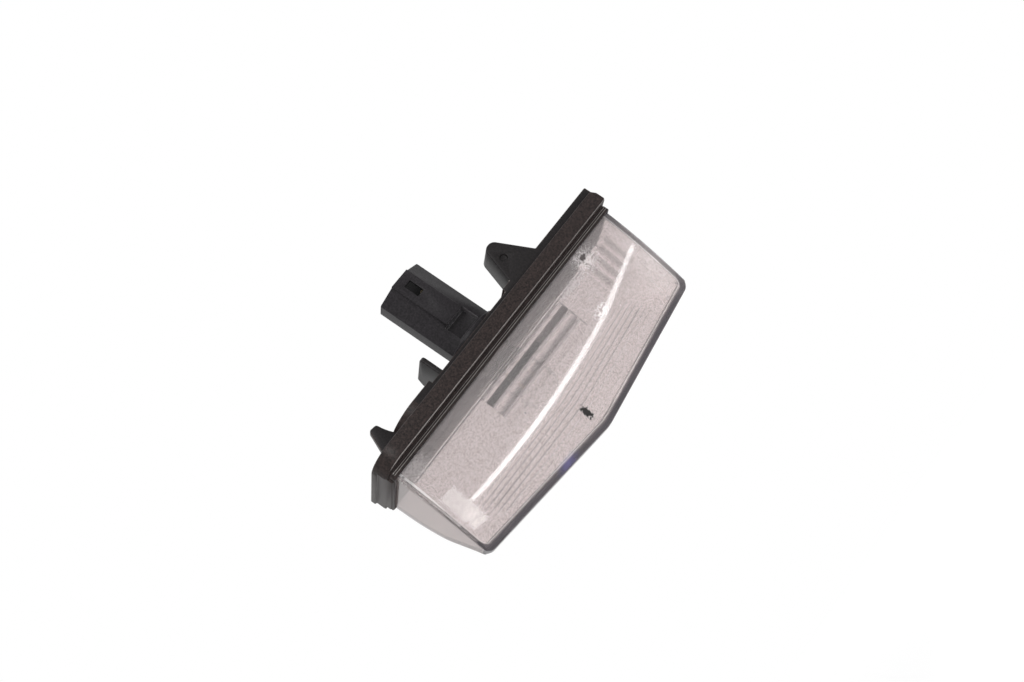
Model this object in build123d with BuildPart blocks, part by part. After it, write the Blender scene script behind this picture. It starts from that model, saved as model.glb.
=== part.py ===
# Number plate lamp: black clip-in housing, clear wedge lens, twist-lock bulb holder with a two-pin
# connector, and a capless bulb. Millimetres, +Z is the way the connector points and +X runs along the
# lamp. The origin lies in the seat against the body panel, behind the middle of the lens.
import math
import os

from build123d import *

# Flange: the broad rim that lies against the panel
flange_length = 88.0
flange_width = 26.2
flange_depth = 4.1
flange_big_corner = 6.5
flange_right_corner = 3.0
flange_far_corner = 1.5
flange_edge_radius = 0.6
flange_end_bevel = (0.75, 1.4)
flange_right_trim = 1.0

# Locating boss behind the flange, with a shallow recess around the bulb holder
boss_left_margin = 10.0
boss_right_margin = 0.55
boss_side_margin = 1.6
boss_height = 2.0
boss_round_corner = 8.0
boss_small_corner = 0.6
recess_left = -20.0
recess_right = 8.6
recess_floor = 1.1
roof_underside = -0.6

# Lens: root inside the collar, steep near wall, rounded far wall, V-shaped tip
lens_end_margin = 1.9
lens_near_margin = 3.6
lens_far_margin = 1.1
lens_wall = 1.7
lens_end_wall = 1.1
lens_visible_top = -5.8
lens_corner_tip = -31.2
lens_peak_tip = -35.9
lens_corner_radius = 2.3
lens_peak_radius = 9.0
lens_near_slope = 0.269
lens_near_bulge = 0.9
lens_blade_overrun = 1.0
lens_blade_thickness = 0.8
lens_tip_solid = 1.7
# Fall of the far wall, from its root (0) to the tip (1): how far down, and how far across
far_wall_steps = ((0.26, 0.037), (0.40, 0.115), (0.555, 0.255), (0.72, 0.54), (0.865, 0.80))

# Optics moulded on the inside of the lens
flute_pitch = 2.95
flute_count = 3
flute_height = 0.8
flute_crest_share = 0.36
flute_sink = 0.15
flute_top = -9.4
flute_left = -15.2
flute_right = 16.0
rib_pitch = 2.8
rib_count = 4
rib_first = 26.8
rib_radius = 2.0
rib_height = 0.3
rib_top = -8.6
rib_bottom = -17.5
far_flute_first_share = 0.52
far_flute_share_step = 0.05
far_flute_count = 6
far_flute_radius = 0.9
far_flute_height = 0.25
far_flute_end_margin = 6.0
gate_mark_x = 29.0
gate_mark_z = -8.2
gate_mark_radius = 0.9
gate_mark_height = 0.35

# Collar around the lens root, and the flat pad at the -X end
collar_gap = 0.1
collar_wall = 0.8
collar_corner = 1.2
pad_thickness = 1.3
pad_near_margin = 1.1
pad_far_margin = 1.3
pad_top = -1.4
pad_bottom = -5.5

# Barb, stop and hook that hold the lamp in the panel cut-out. The hook is measured from the boss's -X end
barb_base = (10.9, 23.4)
barb_tip = (14.6, 17.4)
barb_top = 11.4
barb_thickness = 7.5
barb_tip_radius = 1.9
barb_dimple = (15.7, 6.5)
barb_dimple_radius = 0.9
barb_dimple_depth = 0.5
stop_left = -16.1
stop_thickness = 1.3
stop_near = -8.0
stop_far = 4.9
stop_top = 7.5
stop_chamfer = 1.6
stop_round = 1.0
hook_near = -8.0
hook_thickness = 2.2
hook_base = (-5.2, 1.4)
hook_tip = (-2.6, -0.5)
hook_waist = (-0.1, 3.4)
hook_top = 6.1
hook_tip_drop = 0.3
hook_tip_radius = 0.7

# Bulb holder: twist-lock neck in the roof of the housing
holder_x = -1.5
holder_y = 1.15
neck_radius = 6.5
neck_gap = 0.2
seal_thickness = 0.6
seal_cover = 0.3
holder_flange_overhang = 0.2
holder_flange_thickness = 1.2
holder_front = -4.0
holder_body_radius = 5.8
holder_body_top = 7.0
lug_reach = 8.0
lug_width = 5.0
lug_thickness = 1.4
lug_gap = 0.3

# Connector shroud on the holder
shroud_width = 14.4
shroud_near = -3.0
shroud_far = 1.7
hump_near = -5.9
shroud_top = 24.1
shroud_floor = 9.4
shroud_wall = 0.9
shroud_corner = 0.7
latch_width = 6.0
latch_near = -6.5
latch_bottom = 8.0
latch_wall = 0.8
window_width = 2.2
window_low = 17.7
window_high = 21.7
relief_side_margin = 0.5
relief_low = 3.6
relief_depth = 2.3

# Capless bulb, 10 mm glass with a flat wedge
wedge_width = 9.5
wedge_thickness = 2.6
wedge_end = 4.2
wedge_root = -5.4
wedge_gap = 0.1
bulb_radius = 5.1
bulb_neck_radius = 4.2
bulb_neck = -4.4
bulb_shoulder = -8.0
bulb_tip = -21.4
glass_wall = 0.5
lead_radius = 0.25
lead_spread = 3.0
lead_overrun = 0.35
lead_fold_end = -1.5
lead_hook = 1.0
filament_spread = 2.0
filament_level = -12.5
filament_radius = 0.35

# Terminals: a leaf on the bulb lead at one end, a connector pin at the other
strip_thickness = 0.5
leaf_width = 2.4
leaf_low = -3.0
bridge_low = 5.4
pin_width = 1.5
pin_top = 19.5
pin_taper = 0.35

# How far a cut runs past the face that it opens
overcut = 1.0

# Places that follow from the sizes above
lens_half_length = flange_length / 2 - lens_end_margin
lens_near = lens_near_margin - flange_width / 2
lens_far = flange_width / 2 - lens_far_margin
boss_left = boss_left_margin - flange_length / 2
boss_right = flange_length / 2 - boss_right_margin
boss_width = flange_width - 2 * boss_side_margin
barb_near = -boss_width / 2
pad_face = -lens_half_length - collar_gap - pad_thickness
pad_near = lens_near + pad_near_margin
pad_far = lens_far - pad_far_margin
collar_bottom = lens_visible_top
collar_reach = collar_gap + collar_wall
notch_reach = lug_reach + lug_gap
seal_radius = notch_reach + seal_cover
seal_top = recess_floor + seal_thickness
wedge_near_face = holder_y - wedge_thickness / 2
wedge_far_face = holder_y + wedge_thickness / 2
slot_range = (holder_front - overcut, wedge_end + lead_overrun + 2 * lead_radius)
holder_axis = Axis((holder_x, holder_y, 0), (0, 0, 1))
shroud_middle = (shroud_near + shroud_far) / 2

os.makedirs("parts", exist_ok=True)


def level(z):
    """The horizontal plane at height z."""
    return Plane.XY.offset(z)


def holder_level(z):
    """The horizontal plane at height z, centred on the bulb holder."""
    return Plane(origin=(holder_x, holder_y, z))


def upright(y):
    """The plane facing -Y at depth y, drawn in X and Z."""
    return Plane(origin=(0, y, 0), x_dir=(1, 0, 0), z_dir=(0, -1, 0))


def block(x_range, y_range, z_range, mode=Mode.ADD):
    """A box between two limits along each axis."""
    middle = [(low + high) / 2 for low, high in (x_range, y_range, z_range)]
    size = [high - low for low, high in (x_range, y_range, z_range)]
    with Locations(tuple(middle)):
        Box(*size, mode=mode)


def lens_outline(grow):
    """Plan of the lens root as a rectangle on the current sketch, grown or shrunk on every side."""
    with Locations((0, (lens_near + lens_far) / 2)):
        Rectangle(2 * (lens_half_length + grow), lens_far - lens_near + 2 * grow)


def tip_height(x):
    """Height of the V-shaped lens tip at x."""
    return lens_peak_tip + (lens_corner_tip - lens_peak_tip) * abs(x) / lens_half_length


def near_wall_y(z, tip):
    """Outer face of the near wall at height z, for a section with this tip height."""
    down = lens_visible_top - z
    share = down / (lens_visible_top - tip)
    return lens_near + lens_near_slope * down - 4 * lens_near_bulge * share * (1 - share)


def far_wall_points(tip):
    """Points of the far wall in Y and Z, from its root down to the tip."""
    fall = lens_visible_top - tip
    tip_y = near_wall_y(tip, tip) + lens_blade_thickness
    reach = lens_far - tip_y
    points = [(lens_far, lens_visible_top)]
    for down, across in far_wall_steps:
        points.append((lens_far - reach * across, lens_visible_top - fall * down))
    points.append((tip_y, tip))
    return points


def moved_inwards(points, distance):
    """The points of a wall moved to the inner side, square to the wall."""
    moved = []
    for place, (y, z) in enumerate(points):
        before = points[max(place - 1, 0)]
        after = points[min(place + 1, len(points) - 1)]
        run_y = after[0] - before[0]
        run_z = after[1] - before[1]
        length = math.hypot(run_y, run_z)
        moved.append((y + distance * run_z / length, z - distance * run_y / length))
    return moved


def inner_near_y(z):
    """Inner face of the near wall at height z, in front of the bulb."""
    return near_wall_y(z, lens_peak_tip) + lens_wall


def far_flute_centre(tip, share):
    """Centre of a fine flute on the far wall, for a section with this tip height."""
    outer = far_wall_points(tip)
    inner = moved_inwards(outer, lens_wall + far_flute_height - far_flute_radius)
    height = lens_visible_top - (lens_visible_top - tip) * share
    lower = next(place for place, point in enumerate(outer) if point[1] <= height)
    upper = lower - 1
    part = (outer[upper][1] - height) / (outer[upper][1] - outer[lower][1])
    y = inner[upper][0] + part * (inner[lower][0] - inner[upper][0])
    z = inner[upper][1] + part * (inner[lower][1] - inner[upper][1])
    return y, z


def lens_section(x, root, inset, lift):
    """YZ section of the lens at x. An inset and a lift of the tip turn the outer shape into the hollow."""
    blade = tip_height(x) - lens_blade_overrun
    bottom = blade + lift
    middle = (lens_visible_top + bottom) / 2
    near_root = lens_near + inset
    near_tip = (near_wall_y(bottom, blade) + inset, bottom)
    far_root = lens_far - inset
    far_points = moved_inwards(far_wall_points(blade), inset)
    far_points[0] = (far_root, lens_visible_top)
    if inset:
        far_points = [point for point in far_points if point[1] > bottom + inset]
        far_points.append((near_tip[0] + lens_blade_thickness, bottom))
    with BuildSketch(Plane.YZ.offset(x)) as section:
        with BuildLine():
            Line((near_root, root), (near_root, lens_visible_top))
            near_bend = (near_wall_y(middle, blade) + inset, middle)
            ThreePointArc((near_root, lens_visible_top), near_bend, near_tip)
            Line(near_tip, far_points[-1])
            Spline(*reversed(far_points))
            Line(far_points[0], (far_root, root))
            Line((far_root, root), (near_root, root))
        make_face()
    return section.sketch.face()


def lens_body(half_length, root, inset, lift):
    """Solid through the sections at both ends and at the peak of the lens."""
    sections = [lens_section(x, root, inset, lift) for x in (-half_length, 0, half_length)]
    with BuildPart() as body:
        loft(sections, ruled=True)
    return body.part


# Lens
with BuildPart() as hollow:
    hollow_lift = lens_blade_overrun + lens_tip_solid
    hollow_half_length = lens_half_length - lens_end_wall
    add(lens_body(hollow_half_length, overcut - flange_depth, lens_wall, hollow_lift))
    # Long prism flutes in front of the bulb: a short upper side and a long lower side
    with BuildSketch(Plane.YZ.offset(flute_left)):
        with BuildLine():
            saw = []
            for step in range(flute_count):
                foot = flute_top - step * flute_pitch
                crest = foot - flute_crest_share * flute_pitch
                saw.append((inner_near_y(foot) - flute_sink, foot))
                saw.append((inner_near_y(crest) + flute_height, crest))
            last = flute_top - flute_count * flute_pitch
            saw.append((inner_near_y(last) - flute_sink, last))
            saw.append((near_wall_y(last, lens_peak_tip), last))
            saw.append((near_wall_y(flute_top, lens_peak_tip), flute_top))
            Polyline(*saw, close=True)
        make_face()
    extrude(amount=flute_right - flute_left, mode=Mode.SUBTRACT)
    # Low upright ribs towards the +X end
    rib_depth = lens_wall + rib_height - rib_radius
    for step in range(rib_count):
        x = rib_first + step * rib_pitch
        high = Vector(x, near_wall_y(rib_top, lens_corner_tip) + rib_depth, rib_top)
        low = Vector(x, near_wall_y(rib_bottom, lens_corner_tip) + rib_depth, rib_bottom)
        with BuildSketch(Plane(origin=low, z_dir=high - low)):
            Circle(rib_radius)
        extrude(amount=(high - low).length, mode=Mode.SUBTRACT)
    # Fine flutes on the far wall, along the V of the tip
    far_flute_half_length = hollow_half_length - far_flute_end_margin
    for step in range(far_flute_count):
        share = far_flute_first_share + step * far_flute_share_step
        path_points = []
        for x in (-far_flute_half_length, 0, far_flute_half_length):
            path_points.append((x, *far_flute_centre(tip_height(x) - lens_blade_overrun, share)))
        with BuildLine() as flute_path:
            Polyline(*path_points)
        with BuildSketch(Plane(origin=flute_path.line @ 0, z_dir=flute_path.line % 0)):
            Circle(far_flute_radius)
        sweep(path=flute_path.line, transition=Transition.RIGHT, mode=Mode.SUBTRACT)

with BuildPart() as lens:
    add(lens_body(lens_half_length, -flange_depth, 0, 0))
    # Outline seen from the front, with rounded corners and a soft peak
    with BuildSketch(upright(-flange_width)) as outline:
        with BuildLine():
            Polyline(
                (-lens_half_length, 0),
                (-lens_half_length, lens_corner_tip),
                (0, lens_peak_tip),
                (lens_half_length, lens_corner_tip),
                (lens_half_length, 0),
                close=True,
            )
        make_face()
        fillet(outline.vertices().sort_by(Axis.Y)[1:3], lens_corner_radius)
        fillet(outline.vertices().sort_by(Axis.Y)[0], lens_peak_radius)
    extrude(amount=-2 * flange_width, mode=Mode.INTERSECT)
    add(hollow.part, mode=Mode.SUBTRACT)
    # Mark left by the moulding gate
    gate_mark = (gate_mark_x, near_wall_y(gate_mark_z, lens_corner_tip), gate_mark_z)
    with Locations(Location(gate_mark, (90, 0, 0))):
        Cylinder(gate_mark_radius, 2 * gate_mark_height)
lens.part.label = "lens"

# Housing
with BuildPart() as housing:
    with BuildSketch() as flange_outline:
        with Locations((-flange_right_trim / 2, 0)):
            Rectangle(flange_length - flange_right_trim, flange_width)
        near_corners = flange_outline.vertices().group_by(Axis.Y)[0].sort_by(Axis.X)
        far_corners = flange_outline.vertices().group_by(Axis.Y)[-1]
        fillet(near_corners[0], flange_big_corner)
        fillet(near_corners[1], flange_right_corner)
        fillet(far_corners, flange_far_corner)
    extrude(amount=-flange_depth)
    fillet(housing.faces().sort_by(Axis.Z)[0].outer_wire().edges(), flange_edge_radius)
    rear_end_edge = housing.faces().sort_by(Axis.Z)[-1].edges().filter_by(Axis.Y).sort_by(Axis.X)[-1]
    right_end = housing.faces().sort_by(Axis.X)[-1]
    chamfer(rear_end_edge, flange_end_bevel[1], flange_end_bevel[0], reference=right_end)
    # Collar that hides the lens root
    with BuildSketch(level(-flange_depth)) as collar:
        lens_outline(collar_reach)
        fillet(collar.vertices(), collar_corner)
    extrude(amount=collar_bottom + flange_depth)
    # Flat pad at the -X end
    block((-flange_length, pad_face), (pad_near, flange_width), (-flange_depth, pad_top), Mode.SUBTRACT)
    block((pad_face, -lens_half_length - collar_gap), (pad_near, pad_far), (pad_bottom, pad_top))
    # Locating boss with its recess
    with BuildSketch() as boss_outline:
        with Locations(((boss_left + boss_right) / 2, 0)):
            Rectangle(boss_right - boss_left, boss_width)
        left_corners = boss_outline.vertices().sort_by(Axis.X)[:2]
        fillet(left_corners, boss_round_corner)
        fillet(boss_outline.vertices().sort_by(Axis.X)[-2:], boss_small_corner)
    extrude(amount=boss_height)
    recess = (recess_left, recess_right)
    block(recess, (-boss_width, boss_width), (recess_floor, boss_height + overcut), Mode.SUBTRACT)
    # Room for the lens root, then the hollow up to the roof
    cut_start = collar_bottom - overcut
    with BuildSketch(level(cut_start)):
        lens_outline(collar_gap)
    extrude(amount=-flange_depth - cut_start, mode=Mode.SUBTRACT)
    with BuildSketch(level(cut_start)):
        lens_outline(-lens_wall)
    extrude(amount=roof_underside - cut_start, mode=Mode.SUBTRACT)
    # Keyed hole for the bulb holder
    with BuildSketch(holder_level(roof_underside - overcut)):
        Circle(neck_radius + neck_gap)
        with BuildSketch(mode=Mode.PRIVATE) as notch:
            Rectangle(lug_width + 2 * lug_gap, 2 * notch_reach)
            Circle(notch_reach, mode=Mode.INTERSECT)
        add(notch.sketch)
    extrude(amount=recess_floor - roof_underside + 2 * overcut, mode=Mode.SUBTRACT)
    # Barb with a shallow dimple
    with BuildSketch(upright(barb_near)) as barb:
        with BuildLine():
            Polyline(
                (barb_base[0], 0),
                (barb_tip[0], barb_top),
                (barb_tip[1], barb_top),
                (barb_base[1], 0),
                close=True,
            )
        make_face()
        fillet(barb.vertices().group_by(Axis.Y)[-1], barb_tip_radius)
    extrude(amount=-barb_thickness)
    with BuildSketch(upright(barb_near)):
        with Locations(barb_dimple):
            Circle(barb_dimple_radius)
    extrude(amount=-barb_dimple_depth, mode=Mode.SUBTRACT)
    # Stop plate
    with BuildSketch(Plane.YZ.offset(stop_left)) as stop:
        with BuildLine():
            Polyline(
                (stop_near, 0),
                (stop_near, stop_top),
                (stop_far - stop_chamfer, stop_top),
                (stop_far, stop_top - stop_chamfer),
                (stop_far, 0),
                close=True,
            )
        make_face()
        fillet(stop.vertices().group_by(Axis.Y)[-1].sort_by(Axis.X)[0], stop_round)
    extrude(amount=stop_thickness)
    # Hook at the -X end
    with BuildSketch(Plane(origin=(boss_left, hook_near, 0), x_dir=(1, 0, 0), z_dir=(0, -1, 0))) as hook:
        with BuildLine():
            Line((hook_base[1], 0), (hook_base[0], 0))
            Line((hook_base[0], 0), (hook_tip[0], hook_top))
            Line((hook_tip[0], hook_top), (hook_tip[1], hook_top - hook_tip_drop))
            ThreePointArc((hook_tip[1], hook_top - hook_tip_drop), hook_waist, (hook_base[1], 0))
        make_face()
        fillet(hook.vertices().sort_by(Axis.Y)[-2:], hook_tip_radius)
    extrude(amount=-hook_thickness)
housing.part.label = "housing"


# Bulb leads: from the filament, out through the wedge and folded back along one face of it
def lead(side):
    """Lead wire on the -X side (side -1, near face) or the +X side (side 1, far face)."""
    outer_x = holder_x + side * lead_spread
    face_y = holder_y + side * (wedge_thickness / 2 + lead_radius)
    fold = wedge_end + lead_overrun
    with BuildPart() as wire:
        with BuildLine() as path:
            Polyline(
                (holder_x + side * filament_spread, holder_y, filament_level),
                (holder_x + side * filament_spread, holder_y, filament_level + lead_hook),
                (outer_x, holder_y, wedge_root),
                (outer_x, holder_y, fold),
                (outer_x, face_y, fold),
                (outer_x, face_y, lead_fold_end),
            )
        with BuildSketch(Plane(origin=path.line @ 0, z_dir=path.line % 0)):
            Circle(lead_radius)
        sweep(transition=Transition.RIGHT)
    return wire


bulb_lead_near = lead(-1)
bulb_lead_near.part.label = "bulb_lead_near"
bulb_lead_far = lead(1)
bulb_lead_far.part.label = "bulb_lead_far"

# Bulb filament: the round outline of the fine coil, held under the ends of the two leads
with BuildPart() as bulb_filament:
    with Locations(Location((holder_x, holder_y, filament_level - filament_radius), (0, 90, 0))):
        Cylinder(filament_radius, 2 * (filament_spread + lead_radius))
bulb_filament.part.label = "bulb_filament"

# Bulb glass: round envelope, closed hollow and a flat solid wedge
with BuildPart() as bulb_glass:
    middle = upright(holder_y).moved(Location((holder_x, 0, 0)))
    dome = bulb_tip + bulb_radius
    with BuildSketch(middle):
        with BuildLine():
            Line((0, bulb_neck), (bulb_neck_radius, bulb_neck))
            Line((bulb_neck_radius, bulb_neck), (bulb_radius, bulb_shoulder))
            Line((bulb_radius, bulb_shoulder), (bulb_radius, dome))
            RadiusArc((bulb_radius, dome), (0, bulb_tip), bulb_radius)
            Line((0, bulb_tip), (0, bulb_neck))
        make_face()
    revolve(axis=holder_axis)
    block(
        (holder_x - wedge_width / 2, holder_x + wedge_width / 2),
        (wedge_near_face, wedge_far_face),
        (wedge_root, wedge_end),
    )
    inner = bulb_radius - glass_wall
    inner_top = wedge_root - glass_wall
    with BuildSketch(middle):
        with BuildLine():
            Line((0, inner_top), (bulb_neck_radius - glass_wall, inner_top))
            Line((bulb_neck_radius - glass_wall, inner_top), (inner, bulb_shoulder))
            Line((inner, bulb_shoulder), (inner, dome))
            RadiusArc((inner, dome), (0, bulb_tip + glass_wall), inner)
            Line((0, bulb_tip + glass_wall), (0, inner_top))
        make_face()
    revolve(axis=holder_axis, mode=Mode.SUBTRACT)
    add(bulb_lead_near.part, mode=Mode.SUBTRACT)
    add(bulb_lead_far.part, mode=Mode.SUBTRACT)
bulb_glass.part.label = "bulb_glass"


# Terminals
def terminal(side):
    """Brass terminal on the -X side (leaf on the near lead) or the +X side (leaf on the far lead)."""
    x = holder_x + side * lead_spread
    leaf_inner = holder_y + side * (wedge_thickness / 2 + 2 * lead_radius)
    leaf_outer = leaf_inner + side * strip_thickness
    leaf = (min(leaf_inner, leaf_outer), max(leaf_inner, leaf_outer))
    pin = (shroud_middle - strip_thickness / 2, shroud_middle + strip_thickness / 2)
    strip = (x - leaf_width / 2, x + leaf_width / 2)
    bridge_high = bridge_low + strip_thickness
    with BuildPart() as brass:
        block(strip, leaf, (leaf_low, bridge_high))
        block(strip, (min(leaf[0], pin[0]), leaf[1]), (bridge_low, bridge_high))
        block((x - pin_width / 2, x + pin_width / 2), pin, (bridge_low, pin_top))
        tip = brass.faces().sort_by(Axis.Z)[-1]
        chamfer(tip.edges().filter_by(Axis.Y), pin_taper)
    return brass


terminal_near = terminal(-1)
terminal_near.part.label = "terminal_near"
terminal_far = terminal(1)
terminal_far.part.label = "terminal_far"


# Bulb holder
def shroud_profile(inset):
    """Plan of the connector shroud with its sloping near side, or of its inside where it is inset."""
    half = shroud_width / 2
    flat = latch_width / 2
    with BuildSketch(mode=Mode.PRIVATE) as profile:
        with BuildLine(Plane((holder_x, 0, 0))):
            Polyline(
                (-half, shroud_far),
                (-half, shroud_near),
                (-flat, hump_near),
                (flat, hump_near),
                (half, shroud_near),
                (half, shroud_far),
                close=True,
            )
        make_face()
        if inset:
            offset(amount=-inset, kind=Kind.INTERSECTION, mode=Mode.REPLACE)
        else:
            sides = profile.vertices().group_by(Axis.X)
            fillet(sides[0] + sides[-1], shroud_corner)
    return profile.sketch


with BuildPart() as bulb_holder:
    # Neck, flange and lugs of the twist lock
    with BuildSketch(holder_level(holder_front)):
        Circle(neck_radius)
    extrude(amount=seal_top - holder_front)
    with BuildSketch(holder_level(seal_top)):
        Circle(holder_body_radius)
    extrude(amount=holder_body_top - seal_top)
    with BuildSketch(holder_level(seal_top)):
        Circle(seal_radius + holder_flange_overhang)
    extrude(amount=holder_flange_thickness)
    with BuildSketch(holder_level(roof_underside)):
        Rectangle(2 * lug_reach, lug_width)
        Circle(lug_reach, mode=Mode.INTERSECT)
    extrude(amount=-lug_thickness)
    # Shroud that rises on two slopes to a flat middle, with the raised latch cover on it
    with BuildSketch(level(seal_top)):
        add(shroud_profile(0))
    extrude(amount=shroud_top - seal_top)
    block(
        (holder_x - latch_width / 2, holder_x + latch_width / 2),
        (latch_near, shroud_middle),
        (latch_bottom, shroud_top),
    )
    # Socket for the plug, with the latch channel and its window
    with BuildSketch(level(shroud_floor)):
        add(shroud_profile(shroud_wall))
    extrude(amount=shroud_top + overcut - shroud_floor, mode=Mode.SUBTRACT)
    block(
        (holder_x - latch_width / 2 + latch_wall, holder_x + latch_width / 2 - latch_wall),
        (latch_near + latch_wall, shroud_middle),
        (shroud_floor, shroud_top + overcut),
        Mode.SUBTRACT,
    )
    block(
        (holder_x - window_width / 2, holder_x + window_width / 2),
        (latch_near - overcut, latch_near + latch_wall + overcut),
        (window_low, window_high),
        Mode.SUBTRACT,
    )
    # Relief below the latch cover
    relief_half_width = latch_width / 2 + relief_side_margin
    block(
        (holder_x - relief_half_width, holder_x + relief_half_width),
        (latch_near - overcut, hump_near + relief_depth),
        (relief_low, latch_bottom),
        Mode.SUBTRACT,
    )
    # Slot for the bulb wedge and pockets for the folded leads
    block(
        (holder_x - wedge_width / 2 - wedge_gap, holder_x + wedge_width / 2 + wedge_gap),
        (wedge_near_face - wedge_gap, wedge_far_face + wedge_gap),
        slot_range,
        Mode.SUBTRACT,
    )
    near_pocket = (wedge_near_face - 2 * lead_radius, wedge_near_face)
    far_pocket = (wedge_far_face, wedge_far_face + 2 * lead_radius)
    for side, pocket in ((-1, near_pocket), (1, far_pocket)):
        x = holder_x + side * lead_spread
        block((x - leaf_width / 2, x + leaf_width / 2), pocket, slot_range, Mode.SUBTRACT)
    add(terminal_near.part, mode=Mode.SUBTRACT)
    add(terminal_far.part, mode=Mode.SUBTRACT)
bulb_holder.part.label = "bulb_holder"

# Rubber ring under the holder flange, round the neck
with BuildPart() as holder_seal:
    with BuildSketch(holder_level(recess_floor)):
        Circle(seal_radius)
        Circle(neck_radius + neck_gap, mode=Mode.SUBTRACT)
    extrude(amount=seal_thickness)
holder_seal.part.label = "holder_seal"

export_step(housing.part, "parts/housing.step")
export_step(lens.part, "parts/lens.step")
export_step(bulb_holder.part, "parts/bulb_holder.step")
export_step(holder_seal.part, "parts/holder_seal.step")
export_step(bulb_glass.part, "parts/bulb_glass.step")
export_step(bulb_filament.part, "parts/bulb_filament.step")
export_step(bulb_lead_near.part, "parts/bulb_lead_near.step")
export_step(bulb_lead_far.part, "parts/bulb_lead_far.step")
export_step(terminal_near.part, "parts/terminal_near.step")
export_step(terminal_far.part, "parts/terminal_far.step")
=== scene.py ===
"""Number plate lamp, dressed: hazed clear lens with moulded optics, dusty black mouldings, capless bulb."""
import math

import bmesh
import bpy
import numpy as np
from mathutils import Matrix, Vector


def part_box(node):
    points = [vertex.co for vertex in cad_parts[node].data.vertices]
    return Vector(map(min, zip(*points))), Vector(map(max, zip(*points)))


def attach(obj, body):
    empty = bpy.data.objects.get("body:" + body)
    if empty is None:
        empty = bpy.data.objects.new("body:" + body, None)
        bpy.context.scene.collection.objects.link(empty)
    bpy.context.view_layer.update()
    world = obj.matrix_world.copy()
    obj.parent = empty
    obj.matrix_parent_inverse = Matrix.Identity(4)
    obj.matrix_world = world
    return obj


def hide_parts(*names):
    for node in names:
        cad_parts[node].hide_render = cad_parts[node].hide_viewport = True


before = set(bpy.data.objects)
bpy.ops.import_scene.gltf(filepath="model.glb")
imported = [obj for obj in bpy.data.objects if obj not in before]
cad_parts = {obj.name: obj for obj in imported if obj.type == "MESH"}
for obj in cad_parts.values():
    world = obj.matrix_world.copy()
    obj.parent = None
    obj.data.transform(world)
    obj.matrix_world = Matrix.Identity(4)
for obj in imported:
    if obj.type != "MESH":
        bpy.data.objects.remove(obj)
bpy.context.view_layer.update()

MM = 0.001
# Points closer together than this, in metres, become one
WELD = 1e-6

# Lens sizes in millimetres. The box of the lens gives its ends, its root and its far side
lens_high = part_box("lens")[1]
lens_half = lens_high.x / MM
lens_root = lens_high.z / MM
lens_far = lens_high.y / MM
lens_near = -9.5
lens_top = -5.8
lens_wall = 1.7
end_wall = 1.1
corner_tip = -31.2
peak_tip = -35.9
corner_radius = 2.3
inner_corner_radius = 1.3
peak_radius = 9.0
near_slope = 0.269
near_slope_turn = 0.03
near_bulge = 0.9
near_soft_turn = 20.0
far_soft_turn = 6.0
blade_overrun = 1.0
blade_thickness = 0.8
tip_solid = 1.7
lens_edge_radius = 0.3
# Border of the near face, painted in shade, at the -X end and at the +X end: its width, and how dark it is
# painted
end_strips = (0.9, 1.4)
strip_tints = (0.5, 0.85)
# Half width of the painted highlight line along the border, as a share of the border: at the two ends and at
# the tip
strip_lines = (0.3, 0.06)
tip_line = 0.04
# Heights between which the -X end's border turns from a painted highlight to painted shade
strip_turn = (-12.0, -19.0)
# Rounding of the border's inner corners, as a share of its width
border_corner = 1.0
# Frosting on the inside of the near wall: height, share
frost_steps = ((-22.2, 0), (-21.6, 0.1), (-20.4, 0.9), (-19.8, 1), (-10.2, 1), (-9.4, 0.45))
# The bulb's pressed foot, painted dark as shade from its socket: from this height to that
bulb_foot_painted_shade = (-9.5, -8.0)
# Far wall from its root to the tip: share of the way down, share of the way across
far_wall_steps = ((0, 0), (0.26, 0.037), (0.40, 0.115), (0.555, 0.255), (0.72, 0.54), (0.865, 0.80), (1, 1))
# Its sloping middle, on which the fine flutes stand: from this share of the way down to that
far_slope = (0.555, 0.72)

# Moulded optics on the inside of the lens, in millimetres, heights counted downwards: long prism flutes
flute_top = 9.4
flute_pitch = 2.95
flute_count = 3
flute_height = 0.87
flute_lean = 0.35
flute_ends = (-15.2, 16.0)
flute_run_out = 0.15
# Fine raised lines: a lip above the flutes, and a seam below the root along nearly the whole lens, both also
# coloured as painted highlights
lip_top = 8.2
seam_top = 8.8
seam_ends = (-40.0, 33.0)
line_pitch = 0.4
line_height = 0.03
# Painted shade in the first flute, where the dark bulb holder lies behind it: from its -X end to here, in
# one row
flute_shade_end = 4.5
flute_shade_top = 10.5
flute_shade_pitch = 1.8
# Short upright ribs, with painted shade between them
rib_first = 25.4
rib_pitch = 2.8
rib_count = 4
rib_height = 0.35
rib_ends = (8.2, 17.6)
rib_run_out = 1.2
# Fine flutes on the far wall. First, pitch, end gap, and how much further down they lie at the two ends, are
# shares of the way down
fine_first = 0.5225
fine_pitch = 0.0495
fine_count = 6
fine_height = 0.28
fine_droops = (0.1, -0.016)
fine_end = 34.0
fine_run_out = 3.0
fine_end_gap = 0.01
# Cross-sections of the rows: where the crest lies between the two feet, how blunt it is, how softly it ends
row_shapes = {
    "saw tooth": {"Lean": flute_lean, "Crest Power": 1.3, "Foot Power": 1.0},
    "round": {"Lean": 0.5, "Crest Power": 2.0, "Foot Power": 1.0},
    "soft": {"Lean": 0.5, "Crest Power": 2.0, "Foot Power": 2.0},
    "flat": {"Lean": 0.5, "Crest Power": 8.0, "Foot Power": 1.0},
    "narrow": {"Lean": 0.5, "Crest Power": 1.0, "Foot Power": 6.0},
}

# Plug socket: the middle of its hollow (X, Y), its floor, above which its inside is painted in shade, and
# the relief below the latch cover, painted lit
socket_axis = (-1.5, -2.2)
socket_floor = 9.0
relief_half = 4.5
relief_heights = (2.5, 8.1)
relief_near = -3.0

# The barb, the stop and the hook stand inside the panel, free of dust, above this height
clean_above = 3.4
# Inside of the housing, seen through the lens and painted lit grey: below this height, and within this slack
# of the lens walls
inside_below = -0.5
inside_slack = 0.05
# Fine raised lines along the near side of the collar, whose face lies between two values of Y
bead_heights = (-4.65, -5.15)
bead_width = 0.14
bead_rise = 0.05
collar_sides = (-10.6, -10.2)
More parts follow.
